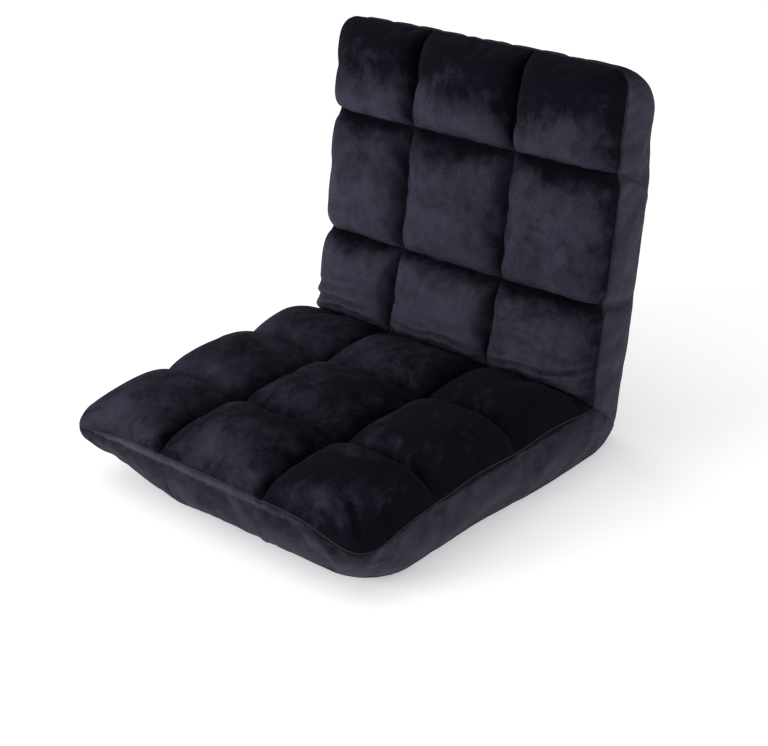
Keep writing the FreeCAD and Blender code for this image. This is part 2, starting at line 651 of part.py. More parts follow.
def ratchet_sector(x_middle):
    """Toothed sector and arm in one plate, drawn where it stands with the back at its first notch."""
    x_low = x_middle - SECTOR_THICKNESS / 2
    x_high = x_middle + SECTOR_THICKNESS / 2
    hub = rod(HUB_RADIUS, x_low, x_high, 0, 0)
    teeth = toothed_wedge(x_low, x_high, 0.0)
    arm = plate([(-ARM_HALF_WIDTH, 0.0), (ARM_HALF_WIDTH, 0.0),
                 (ARM_END_HALF_WIDTH, ARM_LENGTH), (-ARM_END_HALF_WIDTH, ARM_LENGTH)], x_low, x_high)
    tip = rod(ARM_END_HALF_WIDTH, x_low, x_high, 0, ARM_LENGTH)
    holes = [rod(PIVOT_RADIUS + RUNNING_CLEARANCE, x_low - 1, x_high + 1, 0, 0)]
    for along in BACK_RIVET_PLACES:
        holes.append(rod(RIVET_RADIUS + WELD_GAP, x_low - 1, x_high + 1, 0, along))
    upright = without(fused([arm, tip]), holes[1:])
    upright.rotate(ORIGIN, X_AXIS, -LEAN)
    return fused([hub, teeth, upright]).cut(holes[0])


def pawl(x_middle):
    """Toothed pawl, cut to mesh with the sector and then swung off by its travel."""
    half = SECTOR_THICKNESS / 2
    x_low = x_middle - half
    x_high = x_middle + half
    pin = pin_places()[0]
    foot = polar(TOOTH_TIP + 0.4, PAWL_POLAR - 8.0)
    heel = polar(TOOTH_ROOT, PAWL_POLAR - 7.0)
    toe = polar(TOOTH_ROOT, PAWL_POLAR + 13.0)
    outline = [(pin[0] - 6.0, pin[1] - 2.8), (pin[0] - 1.2, pin[1] - PAWL_BACK_DROP),
               (pin[0] + PAWL_TOE_REACH, pin[1] - PAWL_TOE_DROP), toe, heel, foot,
               (pin[0] + 5.6, pin[1] - 4.0)]
    blank = fused([plate(outline, x_low, x_high),
                   rod(PAWL_BOSS_RADIUS, x_low, x_high, pin[0], pin[1])])
    meshed = blank.cut(toothed_wedge(x_low - 1, x_high + 1, MESH_CLEARANCE))
    body = meshed.cut(rod(PIN_RADIUS + RUNNING_CLEARANCE, x_low - 1, x_high + 1, pin[0], pin[1]))
    body.rotate(at(0, pin[0], pin[1]), X_AXIS, -PAWL_TRAVEL)
    return body


def pawl_spring(x_middle):
    """Leaf spring hooked round its post, with one leg that bears on the back of the pawl."""
    half = SECTOR_THICKNESS / 2
    x_low = x_middle - half
    x_high = x_middle + half
    inner = POST_RADIUS + 0.2
    outer = inner + SPRING_THICKNESS
    hook = rod(outer, x_low, x_high, -POST_REACH, -POST_DROP)
    hook = hook.cut(rod(inner, x_low - 1, x_high + 1, -POST_REACH, -POST_DROP))
    mouth = plate([(-POST_REACH, -POST_DROP), (-POST_REACH + 6.0, -POST_DROP - 1.0),
                   (-POST_REACH + 6.0, -POST_DROP + 1.0)], x_low - 1, x_high + 1)
    hook = hook.cut(mouth)
    leg_top = -POST_DROP + outer
    leg = plate([(-POST_REACH, leg_top - SPRING_THICKNESS), (-POST_REACH, leg_top),
                 (-POST_REACH + 9.6, leg_top - 1.4),
                 (-POST_REACH + 9.6, leg_top - 1.4 - SPRING_THICKNESS)], x_low, x_high)
    return fused([hook, leg])


def rivet(radius, head_radius, head_height, x_low, x_high, y, z):
    """A rivet with a low head at each end, sloped round its rim, turned about its own axis."""
    crown = head_radius * HEAD_CROWN_SHARE
    outline = [(x_low - head_height, 0.0), (x_high + head_height, 0.0),
               (x_high + head_height, crown), (x_high, head_radius), (x_high, radius),
               (x_low, radius), (x_low, head_radius), (x_low - head_height, crown)]
    corners = [at(x, y + across, z) for x, across in outline]
    return Part.Face(Part.makePolygon(corners + corners[:1])).revolve(at(0, y, z), X_AXIS, 360)


def hinge_pieces(side, name):
    """All the pieces of one ratchet hinge, with the inner cheek towards the middle of the chair."""
    middle = side * HINGE_OFFSET
    low = middle - CHEEK_OUTER
    high = middle + CHEEK_OUTER
    outer_low = middle + CHEEK_INNER if side > 0 else middle - CHEEK_OUTER
    inner_low = middle - CHEEK_OUTER if side > 0 else middle + CHEEK_INNER
    head = (RIVET_HEAD_RADIUS, RIVET_HEAD_HEIGHT)
    small = (PIN_RADIUS + 1.4, 1.2)
    pawl_pin = pin_places()[0]
    stops = [rivet(PIN_RADIUS, *small, low, high, y, z) for y, z in stop_pin_places()]
    post = rivet(POST_RADIUS, POST_RADIUS + 1.0, 1.0, low, high, -POST_REACH, -POST_DROP)
    seat_rivets = [rivet(RIVET_RADIUS, *head, low, high, -along, 0) for along in SEAT_RIVET_PLACES]
    seat = {
        "outer_cheek_" + name: cheek(outer_low),
        "inner_cheek_" + name: cheek(inner_low),
        "pivot_pin_" + name: rivet(PIVOT_RADIUS, PIVOT_HEAD_RADIUS, RIVET_HEAD_HEIGHT, low, high, 0, 0),
        "pawl_pin_" + name: rivet(PIN_RADIUS, *small, low, high, pawl_pin[0], pawl_pin[1]),
        "stop_pins_" + name: Part.makeCompound(stops),
        "spring_post_" + name: post,
        "seat_arm_rivets_" + name: Part.makeCompound(seat_rivets),
        "pawl_spring_" + name: pawl_spring(middle),
        "pawl_" + name: pawl(middle),
        "ratchet_sector_" + name: ratchet_sector(middle),
    }
    near = side * (HINGE_OFFSET + SECTOR_THICKNESS / 2)
    deep = side * (BACK_TUBE_OFFSET - TANG_THICKNESS / 2)
    back_rivets = [rivet(RIVET_RADIUS, *head, min(near, deep), max(near, deep), 0, along)
                   for along in BACK_RIVET_PLACES]
    return seat, {"back_arm_rivets_" + name: Part.makeCompound(back_rivets)}


def build():
    """All nodes, those of the seat from the floor and those of the back stood on the hinge axis."""
    rear, middle, front = seat_rows()
    low, mid, head = back_rows()
    on_floor = {
        "seat_base_pad": seat_base_pad(),
        "seat_rear_row": rear,
        "seat_middle_row": middle,
        "seat_front_row": front,
        "seat_bottom_cloth": seat_bottom_cloth(),
        "corner_wrap": corner_wrap(),
        "seat_frame_tube": u_frame(seat_tube_point, HINGE_OFFSET, SEAT_FRAME_FRONT,
                                   SEAT_TANG_START, SEAT_TANG_END, SEAT_RIVET_PLACES),
    }
    on_back = {
        "back_base_pad": back_base_pad(),
        "back_low_row": low,
        "back_middle_row": mid,
        "back_head_row": head,
        "back_rear_cloth": back_rear_cloth(),
        "rear_flap": rear_flap(),
        "rear_zip": rear_zip(),
        "back_frame_tube": u_frame(back_tube_point, BACK_TUBE_OFFSET, BACK_FRAME_TOP,
                                   BACK_TANG_START, BACK_TANG_END, BACK_RIVET_PLACES),
    }
    for title, along in zip(("rear", "front"), SEAT_CROSS_PLACES):
        on_floor["seat_cross_tube_" + title] = cross_tube(seat_tube_point, HINGE_OFFSET, along)
    for title, along in zip(("lower", "upper"), BACK_CROSS_PLACES):
        on_back["back_cross_tube_" + title] = cross_tube(back_tube_point, BACK_TUBE_OFFSET, along)
    for side, name in ((1, "left"), (-1, "right")):
        seat_hinge, back_hinge = hinge_pieces(side, name)
        for node, shape in seat_hinge.items():
            on_floor[node] = shape.translated(at(0, 0, AXIS_HEIGHT))
        on_back.update(back_hinge)
    for node, shape in on_back.items():
        shape.rotate(ORIGIN, X_AXIS, -LEAN)
        shape.translate(at(0, 0, AXIS_HEIGHT))
    return {**on_floor, **on_back}


def main():
    nodes = build()
    extent = Part.makeCompound(list(nodes.values())).optimalBoundingBox(True, False)
    centre = -(extent.YMin + extent.YMax) / 2
    os.makedirs("parts", exist_ok=True)
    for node, shape in nodes.items():
        shape.translate(at(0, centre, 0))
        shape.exportStep("parts/" + node + ".step")
        print(node, len(shape.Solids), "solids, valid", shape.isValid(), round(shape.Volume / 1000, 1))
    pin = pin_places()[0]
    print("hinge axis", 0, round(centre, 3), AXIS_HEIGHT, "pawl pin", round(centre + pin[0], 3),
          AXIS_HEIGHT + pin[1])
    print("travel", round(-RELEASE_TRAVEL, 4), round(FLAT_TRAVEL, 4), "pitch", round(PITCH, 4))
    print("size", round(extent.XLength, 1), round(extent.YLength, 1), round(extent.ZLength, 1),
          "lowest", round(extent.ZMin, 3))


main()
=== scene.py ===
import json
import math

import bpy
import numpy as np
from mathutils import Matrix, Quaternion, Vector


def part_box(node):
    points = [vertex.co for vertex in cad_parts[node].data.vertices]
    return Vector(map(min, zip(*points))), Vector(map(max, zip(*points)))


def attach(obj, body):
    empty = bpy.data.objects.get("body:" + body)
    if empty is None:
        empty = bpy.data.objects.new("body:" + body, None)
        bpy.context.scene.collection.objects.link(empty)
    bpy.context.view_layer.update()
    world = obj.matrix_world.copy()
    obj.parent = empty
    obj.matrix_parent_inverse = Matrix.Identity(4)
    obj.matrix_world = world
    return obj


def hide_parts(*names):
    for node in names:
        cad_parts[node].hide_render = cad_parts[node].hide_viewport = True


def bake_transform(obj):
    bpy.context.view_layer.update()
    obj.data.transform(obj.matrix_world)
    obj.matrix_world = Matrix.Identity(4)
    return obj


# The folding floor chair: a quilted seat and back sewn round the steel frame that the CAD part gives.
# Metres. Each cushion is made in its own plane: x across, t from the hinge axis along the cushion, and
# n from the hinge axis towards the quilted face.

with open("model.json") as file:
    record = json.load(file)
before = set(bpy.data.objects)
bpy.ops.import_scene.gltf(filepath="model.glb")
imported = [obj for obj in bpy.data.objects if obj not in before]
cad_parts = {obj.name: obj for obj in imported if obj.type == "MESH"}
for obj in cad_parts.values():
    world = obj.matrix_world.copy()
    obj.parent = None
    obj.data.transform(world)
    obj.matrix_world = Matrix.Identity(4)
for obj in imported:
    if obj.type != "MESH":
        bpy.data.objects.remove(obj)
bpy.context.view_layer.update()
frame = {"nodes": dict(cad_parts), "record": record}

# Places taken from the frame
pin_low, pin_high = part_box("pivot_pin_left")
AXIS_Y = (pin_low[1] + pin_high[1]) / 2
AXIS_Z = (pin_low[2] + pin_high[2]) / 2
LEAN = math.radians(8.0)     # the back's lean from upright at its first notch

# Outline shared by both cushions
SEAM_HALF = 0.254            # middle to the seam round the quilted face
CHANNEL = 0.091              # middle to each lengthwise channel
SKIN = 0.040                 # hinge axis to the cover on the underside and the rear
SEAM_FILL = 0.0025           # height of the quilting lines over the seam at their outer ends
SIDE_SEAM = 0.348            # t of the cross seam down the back's sides
FULL_HEIGHT = 0.035          # n from which the seat's corners and sides have their whole droop and rise

# How uneven the cover's outline is, as shares of the distance from the middle
BACK_NARROWING = 0.028       # the back above the fold
BACK_NOTCH = 0.022           # the back at its quilting lines
BACK_REAR_WIDENING = 0.03
BACK_TUCK = 0.022            # one side of the back's lowest row
SEAT_NOTCH = 0.009           # the seat at its quilting lines
SEAT_LOW_WIDENING = 0.05     # the seat's underside by the fold

# The fold, a plane in which the two cushions meet
FOLD_ANGLE = math.radians(42.2)      # the seat's slanted rear face, above its own plane
FOLD_REACH_SEAM = 0.050      # hinge axis to the fold at the outer seams
FOLD_REACH_CHANNEL = 0.080   # at the lengthwise channels
FOLD_REACH_TUFT = 0.012      # further out at the middle of a tuft
FOLD_GAP = 0.0003            # each cushion stops this far from the fold's middle plane
FOLD_CURVE = 1.6             # power of the fall of the seat's tufts towards the fold
FOLD_MIDDLE = Vector((0.0, AXIS_Y, AXIS_Z))
FOLD_NORMAL = (0.0, math.sin(FOLD_ANGLE), math.cos(FOLD_ANGLE))      # from the seat's side to the back's

# Form of a stuffed tuft
CROWN_POWER = 0.52           # how steeply it rises from its stitching, where 1 is a plain arch
OUTER_POWER = 0.72           # the same towards the outer seams
OUTER_ROUNDING = 0.8         # taken off its fullness there

# The rear of the head stands out a little
PUFF_HALF = 0.23             # middle to where it ends at the sides
PUFF_LOW = 0.33              # t where it starts
PUFF_HIGH = 0.46             # t where it ends

# Creases in the quilted face
CREASE_SPREAD = 1.25         # width of the groove over the width listed for the crease
CREASE_WANDER = 0.0022       # how far it wanders to either side
CREASE_FADE = 0.3            # share of its length in which it fades at each end
RIDGE_HEIGHT = 0.55          # height of the ridges beside it over its depth
RIDGE_PLACE = 2.1            # from the groove to the ridge, in groove widths
RIDGE_SPREAD = 1.1           # width of the ridge, in groove widths
CREASE_RELIEF = 0.65         # share of a crease's depth that is pressed into the mesh

# Stuffing the cover by a cloth simulation
CLOTH_FRAMES = 20
COVER_TRAVEL = 0.012         # no point of the cover moves further than this
EVEN_SHRINK = 0.15           # share of the shrinking that the whole quilted face has
SHRINK_START = 0.05          # t up to which the shrinking at the fold is whole
SHRINK_RUN = 0.10            # distance in which it fades

# The loose flap on the rear of the back
FLAP_HALF = 0.231            # middle to its sides
FLAP_HEM = 0.240             # t of its hem
FLAP_TOP = 0.436             # t of its sewn top edge
FLAP_CORNER = 0.044          # radius of its top corners
FLAP_THICKNESS = 0.0010
HEM_WIDTH = 0.0105           # of the hem, which is folded double
HEM_STITCH = 0.0085          # from the hem's edge to its stitching
FLAP_LINES_ACROSS = 91
FLAP_LINES_UP = 45

# Painted light and shade on the pile, carried in its colour
LIGHTEST_FACING = (0.10, -0.40, -0.84)      # a face that looks this way takes the most painted light, as if lit from below and in front
GROOVE_PAINTED_SHADE = 0.95       # painted shade at the bottom of the quilting
GROOVE_RISE = 0.85           # share of a tuft's height at which that painted shade ends
TOP_SHADE_RUN = 0.40           # share of a row over which the painted shade on its upper part comes in
FRONT_PAINTED_SHADE = 0.85        # painted shade on the gusset where it faces forward
SIDE_PAINTED_LIGHT = 0.25        # painted light on the back's gusset where it faces sideways
CREASE_PAINTED_LIGHT_SHADE = 85.0      # painted shade in a crease's groove and painted light on its ridges, for each metre of its height

# Mesh cells along a tuft, across it and up a side, and the tuft heights over which they are spread evenly
ROW_CELLS = 26
TUFT_CELLS = 30
SIDE_CELLS = 15
ALONG_RISE = 0.034
ACROSS_RISE = 0.038
ARC_STEPS = 2001

# What the two cushions' values say:
# rows: t of the fold's end, of both quilting lines and of the far seam
# crests: height of each row's tufts over the seam
# swell: how far each row's highest line lies from its middle, in half rows
# droop: how far each row's tufts hang over the quilting line before them
# creases: x and t of one end, x and t of the other, depth and width
# under_puff: how far the head's rear stands out
# valley, far_fill: height of the quilting lines over the seam in the middle, and of the cover at the far seam
# fullness: power of the tufts' section, where more is boxier
# groove_fade: share of the quilting's depth that is lost towards the outer seams
# top_roll: how far the last row rolls over the far seam
# row_top_shade: for each row, how much painted shade its upper part takes, and from which share of the row
# row_painted_light, left_painted_light: painted light on each row, and on the side where x is below 0
# fold_shrink: share of the cover's shrinking that it has at the fold
# seam: n of the seam round the quilted face
# fold: angle of the cushion's slanted face at the fold
# levels: share of the side's height, and the outline's half width, far edge and corner radius there
SEAT = dict(
    rows=(0.064, 0.206, 0.369, 0.508),
    crests=(0.046, 0.052, 0.054),
    swell=(0.0, 0.0, -0.10),
    droop=(0.0, 0.0, 0.0),
    creases=((0.262, 0.020, 0.225, 0.032, 0.004, 0.0030), (0.262, 0.046, 0.215, 0.050, 0.003, 0.0030),
             (0.250, 0.500, 0.196, 0.470, 0.005, 0.0035), (0.240, 0.512, 0.176, 0.498, 0.004, 0.0030),
             (0.262, 0.470, 0.228, 0.440, 0.004, 0.0030), (-0.250, 0.505, -0.205, 0.492, 0.003, 0.0030),
             (0.085, 0.512, 0.088, 0.480, 0.003, 0.0040), (-0.100, 0.512, -0.092, 0.470, 0.003, 0.0040)),
    under_puff=0.0,
    valley=0.018,
    far_fill=0.009,
    fullness=3.2,
    groove_fade=0.5,
    top_roll=0.0,
    row_top_shade=((0.0, 0.5), (0.0, 0.5), (0.0, 0.5)),
    row_painted_light=(-0.04, 0.0, 0.03),
    left_painted_light=0.62,
    fold_shrink=0.2,
    seam=0.035,
    fold=FOLD_ANGLE,
    levels=((0.0, 0.240, 0.475, 0.070), (0.24, 0.2515, 0.492, 0.058),
            (0.60, 0.2570, 0.509, 0.042), (1.0, 0.254, 0.508, 0.030)),
)
BACK = dict(
    rows=(0.050, 0.171, 0.348, 0.478),
    crests=(0.050, 0.045, 0.044),
    swell=(-0.05, -0.14, -0.14),
    droop=(0.0, 0.003, 0.004),
    creases=((-0.262, 0.074, -0.110, 0.078, 0.0055, 0.0034), (-0.262, 0.066, -0.100, 0.060, 0.0045, 0.0030),
             (-0.235, 0.092, -0.120, 0.100, 0.0035, 0.0036), (-0.200, 0.110, -0.135, 0.118, 0.0020, 0.0040),
             (-0.092, 0.070, 0.086, 0.071, 0.0055, 0.0030), (-0.080, 0.082, 0.010, 0.078, 0.0030, 0.0030),
             (-0.010, 0.090, 0.080, 0.098, 0.0022, 0.0034), (-0.086, 0.108, -0.050, 0.104, 0.0020, 0.0036),
             (0.096, 0.062, 0.262, 0.084, 0.0060, 0.0030), (0.100, 0.080, 0.180, 0.084, 0.0028, 0.0032),
             (0.135, 0.112, 0.185, 0.104, 0.0038, 0.0034), (0.128, 0.122, 0.200, 0.118, 0.0026, 0.0030),
             (0.150, 0.095, 0.230, 0.100, 0.0022, 0.0030), (0.100, 0.128, 0.150, 0.131, 0.0018, 0.0030),
             (0.140, 0.262, 0.176, 0.262, 0.0024, 0.0028), (0.140, 0.250, 0.165, 0.248, 0.0014, 0.0028)),
    under_puff=0.002,
    valley=0.014,
    far_fill=-0.010,
    fullness=4.0,
    groove_fade=0.1,
    top_roll=0.018,
    row_top_shade=((0.15, 0.66), (0.30, 0.64), (1.00, 0.22)),
    row_painted_light=(0.36, 0.02, -0.16),
    left_painted_light=0.22,
    fold_shrink=1.0,
    seam=0.037,
    fold=math.pi / 2 + LEAN - FOLD_ANGLE,
    levels=((0.0, 0.240, 0.448, 0.038), (0.30, 0.2530, 0.464, 0.034),
            (0.70, 0.2555, 0.474, 0.030), (1.0, 0.254, 0.480, 0.026)),
)


def seat_place(p):
    """Frame coordinates of points given as x, t, n on the seat."""
    return np.stack([p[..., 0], AXIS_Y - p[..., 1], AXIS_Z + p[..., 2]], -1)


def back_place(p):
    """Frame coordinates of points given as x, t, n on the back at its first notch."""
    x, t, n = p[..., 0], p[..., 1], p[..., 2]
    return np.stack([x, AXIS_Y + t * math.sin(LEAN) - n * math.cos(LEAN),
                     AXIS_Z + t * math.cos(LEAN) + n * math.sin(LEAN)], -1)


# The quilted cushions' points

def eased(share):
    """0 to 1 with a soft start and end."""
    share = np.clip(share, 0.0, 1.0)
    return share * share * (3.0 - 2.0 * share)


def crown(u, fullness=2.8):
    """Height of a stuffed tuft across one direction, 1 at its middle and 0 at the stitching."""
    return (1.0 - np.abs(u) ** fullness) ** CROWN_POWER


def shoulder(u, x, fullness):
    """The same, rounder towards the outer seams."""
    inner = crown(u, fullness)
    rounder = (1.0 - np.abs(u) ** (fullness - OUTER_ROUNDING)) ** OUTER_POWER
    outer = np.where(np.sign(u) == np.sign(x), rounder, inner)
    return np.where(np.abs(x) > CHANNEL, outer, inner)


def even_steps(half, height, count):
    """Places from -1 to 1 that divide a tuft's curved surface evenly."""
    u = np.sin(np.linspace(-math.pi / 2, math.pi / 2, ARC_STEPS))
    length = np.hypot(np.diff(u) * half, np.diff(crown(u)) * height)
    run = np.concatenate([[0.0], np.cumsum(length)])
    return np.interp(np.linspace(0.0, run[-1], count + 1), run, u)


def creased(creases, x, t):
    """Height of the creases at x, t. A ridge lies on both sides of each."""
    height = np.zeros_like(x)
    for x0, t0, x1, t1, depth, width in creases:
        length = math.hypot(x1 - x0, t1 - t0)
        ahead = ((x - x0) * (x1 - x0) + (t - t0) * (t1 - t0)) / length
        wander = CREASE_WANDER * np.sin(62.0 * x + 90.0 * t0)
        aside = ((x - x0) * (t1 - t0) - (t - t0) * (x1 - x0)) / length + wander
        fade = CREASE_FADE * length
        ends = eased(ahead / fade + 0.2) * eased((length - ahead) / fade + 0.2)
        spread = CREASE_SPREAD * width
        groove = np.exp(-(aside / spread) ** 2)
        ridge = np.exp(-((np.abs(aside) - RIDGE_PLACE * spread) / (RIDGE_SPREAD * spread)) ** 2)
        height = height + depth * ends * (RIDGE_HEIGHT * ridge - groove)
    return height


def grid_lines(edges, height, cells):
    """Place, place within the tuft and tuft number of every grid line in one direction."""
    place, within, number = [], [], []
    for k in range(3):
        half = (edges[k + 1] - edges[k]) / 2
        first = 0 if k == 0 else 1
        steps = even_steps(half, height, cells)[first:]
        place.extend((edges[k] + edges[k + 1]) / 2 + half * steps)
        within.extend(steps)
        number.extend([k] * len(steps))
    return np.array(place), np.array(within), np.array(number)


def rear_puff(x, t):
    """How far the head's rear stands out, from 0 to 1."""
    across = np.clip(1 - (np.abs(x) / PUFF_HALF) ** 4, 0, 1)
    from_low = np.clip((t - PUFF_LOW) / 0.05, 0, 1)
    from_high = np.clip((PUFF_HIGH - t) / 0.04, 0, 1)
    return across * from_low * from_high


def level(spec, q):
    """Half width, far edge and corner radius of the outline at height share q."""
    shares, *sizes = zip(*spec["levels"])
    return [float(np.polyval(np.polyfit(shares, size, 3), q)) for size in sizes]


def rounded(a, b):
    """Shares of the way into a corner, across and along, bent from a square corner to a round one."""
    both = (a > 0) & (b > 0)
    across = np.where(both, a * np.sqrt(np.clip(1 - b ** 2 / 2, 0, 1)), a)
    along = np.where(both, b * np.sqrt(np.clip(1 - a ** 2 / 2, 0, 1)), b)
    return across, along


def under_curve(t):
    """t and n of the cover's underside, which turns round the hinge axis where t is below 0."""
    turn = np.clip(-t / SKIN, 0, None)
    bent_t = np.where(t < 0, -SKIN * np.sin(turn), t)
    bent_n = np.where(t < 0, -SKIN * np.cos(turn), -SKIN)
    return bent_t, bent_n


def quilt(spec):
    """Points of a cushion on a box-shaped grid, heights of its tufts from 0 to 1, and its grid lines."""
    x_line, u_line, _ = grid_lines((-SEAM_HALF, -CHANNEL, CHANNEL, SEAM_HALF), ACROSS_RISE, TUFT_CELLS)
    t_line, v_line, row = grid_lines(spec["rows"], ALONG_RISE, ROW_CELLS)
    first_row = (row == 0)[None, :]
    near, first_channel, second_channel, far = spec["rows"]

    # Where the quilted face meets the fold, for each line across
    outward = np.clip((np.abs(x_line) - CHANNEL) / (SEAM_HALF - CHANNEL), 0, 1)
    side_fall = 1.0 - outward ** 2
    reach = (FOLD_REACH_SEAM + (FOLD_REACH_CHANNEL - FOLD_REACH_SEAM) * (1.0 - outward ** 3)
             + FOLD_REACH_TUFT * crown(u_line))
    fold_t = reach * math.cos(spec["fold"])
    fold_n = reach * math.sin(spec["fold"])

    # Height of the quilting lines, which the tufts stand on
    share = np.clip((t_line - near) / (first_channel - near), 0, 1)
    far_share = np.clip((t_line - second_channel) / (far - second_channel), 0, 1)
    far_fall = 1.0 - far_share ** 2
    base = SEAM_FILL + (spec["valley"] - SEAM_FILL) * side_fall[:, None] * far_fall[None, :]
    base = base + (spec["far_fill"] - SEAM_FILL) * side_fall[:, None] * far_share[None, :] ** 2
    fold_base = (fold_n[:, None] - spec["seam"]) * (1 - share) + base * share
    base = np.where(first_row, fold_base, base)

    # The quilted face
    crest = np.array(spec["crests"])[row][None, :] - base
    swell = np.array(spec["swell"])[row]
    v_skewed = np.clip(v_line - swell * (1 - v_line ** 2), -1, 1)
    rise = crown(v_skewed, spec["fullness"])
    if spec is SEAT:
        rise = np.where((row == 0) & (v_line < 0), 1 - np.abs(v_line) ** FOLD_CURVE, rise)
    between_rows = (row > 0) & (row + np.sign(v_line) < 3)
    groove = 1.0 - spec["groove_fade"] * outward[:, None] * between_rows[None, :]
    lift = shoulder(u_line, x_line, spec["fullness"])[:, None] * (1.0 - groove * (1.0 - rise[None, :]))
    n_top = spec["seam"] + base + crest * lift
    t_top = np.where(first_row, fold_t[:, None] + (first_channel - fold_t[:, None]) * share, t_line)
    droop = np.array(spec["droop"])[row] * (1 - v_line) / 2
    t_top = t_top - droop[None, :] * lift
    roll = np.where(row == 2, np.clip(v_line, 0, 1) ** 3, 0.0)
    t_top = t_top + spec["top_roll"] * lift * roll[None, :]

    # The underside, and the outline at each height between it and the face
    radius_top = spec["levels"][-1][3]
    corner_x, corner_t = rounded(((np.abs(x_line) - (SEAM_HALF - radius_top)) / radius_top)[:, None],
                                 ((t_line - (far - radius_top)) / radius_top)[None, :])
    edge_t = t_top[0]
    straight = (edge_t - edge_t[0]) / (far - radius_top - edge_t[0])
    along_start = -SKIN * (math.pi / 2 - spec["fold"])
    _, low_far, low_radius = level(spec, 0)
    bottom = along_start + (low_far - low_radius - along_start) * straight[None, :]
    bottom_t, bottom_n = under_curve(bottom)
    points = np.zeros((len(x_line), len(t_line), SIDE_CELLS + 1, 3))
    for k in range(SIDE_CELLS + 1):
        q = k / SIDE_CELLS
        half, far_q, radius = level(spec, q)
        inner = np.abs(x_line)[:, None] / (SEAM_HALF - radius_top) * (half - radius)
        x = np.where(corner_x > 0, (half - radius) + radius * corner_x, inner) * np.sign(x_line)[:, None]
        start = along_start * (1 - q) + edge_t[0] * q
        even_t = start + (far_q - radius - start) * straight[None, :]
        t = np.where(corner_t > 0, (far_q - radius) + radius * corner_t, even_t)
        if k == 0:
            t, n = under_curve(t)
            n = n - spec["under_puff"] * rear_puff(x, t)
        elif k == SIDE_CELLS:
            t = np.where(corner_t > 0, t, t_top)
            n = n_top
        else:
            t = t + (1 - q) * (bottom_t - bottom)
            n = bottom_n * (1 - q) + n_top * q
            t[:, 0] = points[:, 0, 0, 1] * (1 - q) + fold_t * q
            n[:, 0] = points[:, 0, 0, 2] * (1 - q) + fold_n * q
        points[:, :, k] = np.stack([x, t, n], -1)
    return settled(spec, points), lift, (u_line, t_line, v_line)


def settled(spec, points):
    """The uneven outline of the real cover."""
    x, t, n = (points[..., i] for i in range(3))
    q = np.linspace(0.0, 1.0, points.shape[2])[None, None, :]
    side = eased((np.abs(x) - 0.14) / 0.09)
    notch = sum(np.exp(-((t - line) / 0.011) ** 2) for line in spec["rows"][1:3])
    if spec is BACK:
        return np.stack([back_outline(x, t, q, side, notch), t, n], -1)
    return seat_outline(x, t, n, q, side, notch)


def back_outline(x, t, q, side, notch):
    """x on the back: narrower above the fold and at the quilting, wider at the rear, its sides uneven."""
    above_fold = eased(t / 0.10)
    narrowed = 1.0 - BACK_NARROWING * eased(t / 0.08)
    notched = 1.0 - BACK_NOTCH * notch * side * (0.2 + 0.8 * q)
    widened = 1.0 + BACK_REAR_WIDENING * (1.0 - q) * above_fold
    x = x * narrowed * notched
    x = x * widened + 0.003 * side * above_fold
    one_side = x * (1.0 - 0.014 * above_fold)
    other_side = x * (1.0 - 0.026 * eased((t - 0.33) / 0.06))
    x = np.where(x < 0, one_side, other_side)
    tucked = np.exp(-((t - 0.068) / 0.006) ** 2)
    return np.where(x < 0, x * (1.0 - BACK_TUCK * tucked * side), x)


def seat_outline(x, t, n, q, side, notch):
    """Points of the seat: wider below by the fold, its nose corners hanging, its sides arched at each row."""
    notched = 1.0 - SEAT_NOTCH * notch * side * (0.3 + 0.7 * q)
    by_fold = eased((0.30 - t) / 0.18)
    widened = 1.0 + SEAT_LOW_WIDENING * (1.0 - q) * by_fold * eased((t + 0.04) / 0.08)
    x = x * notched
    x = x * widened
    for corner_x, drop in ((0.225, 0.017), (-0.225, 0.005)):
        near = np.exp(-((x - corner_x) ** 2 + (t - 0.480) ** 2) / (2 * 0.034 ** 2))
        n = n - drop * near * np.clip(n / FULL_HEIGHT, 0, 1)
    for low, high in zip(SEAT["rows"][:2], SEAT["rows"][1:3]):
        arch = np.sin(math.pi * np.clip((t - low) / (high - low), 0, 1))
        n = n + 0.006 * arch * eased((np.abs(x) - 0.17) / 0.07) * np.clip(n / FULL_HEIGHT, 0, 1)
    from_tip = (x + 0.245) ** 2 + (t - 0.500) ** 2
    tip = np.exp(-from_tip / (2 * 0.040 ** 2)) * np.clip(n / FULL_HEIGHT + 0.4, 0, 1)
    hull = (1.0 - q) * eased((-x - 0.07) / 0.17) * eased((t - 0.28) / 0.17)
    x = x + 0.015 * hull - 0.007 * tip
    return np.stack([x, t - 0.010 * hull + 0.006 * tip, n + 0.015 * hull], -1)


def held_at_fold(spec, points):
    """Points brought back to this cushion's own side of the fold."""
    held = points.copy()
    limit = held[..., 2] / math.tan(spec["fold"]) + FOLD_GAP / math.sin(spec["fold"])
    held[..., 1] = np.maximum(held[..., 1], limit)
    return held


# Meshes

FACE_KINDS = ("face", "side", "under", "fold")


def grid_faces(grid, flip):
    """Four-sided faces between the vertex numbers of a grid."""
    a, b, c, d = grid[:-1, :-1], grid[1:, :-1], grid[1:, 1:], grid[:-1, 1:]
    corners = [a, d, c, b] if flip else [a, b, c, d]
    return np.stack(corners, -1).reshape(-1, 4)


def surface_of(points):
    """Vertices, faces, kinds of face and the vertex number at each grid place on the surface."""
    on_surface = np.zeros(points.shape[:3], bool)
    on_surface[0] = on_surface[-1] = True
    on_surface[:, 0] = on_surface[:, -1] = True
    on_surface[:, :, 0] = on_surface[:, :, -1] = True
    number = np.full(points.shape[:3], -1)
    number[on_surface] = np.arange(on_surface.sum())
    faces, kinds = [], []
    sheets = (("face", number[:, :, -1], False), ("under", number[:, :, 0], True),
              ("side", number[0], True), ("side", number[-1], False),
              ("fold", number[:, 0], False), ("side", number[:, -1], True))
    for kind, grid, flip in sheets:
        quads = grid_faces(grid, flip)
        faces.append(quads)
        kinds.extend([kind] * len(quads))
    return points[on_surface], np.concatenate(faces), kinds, number


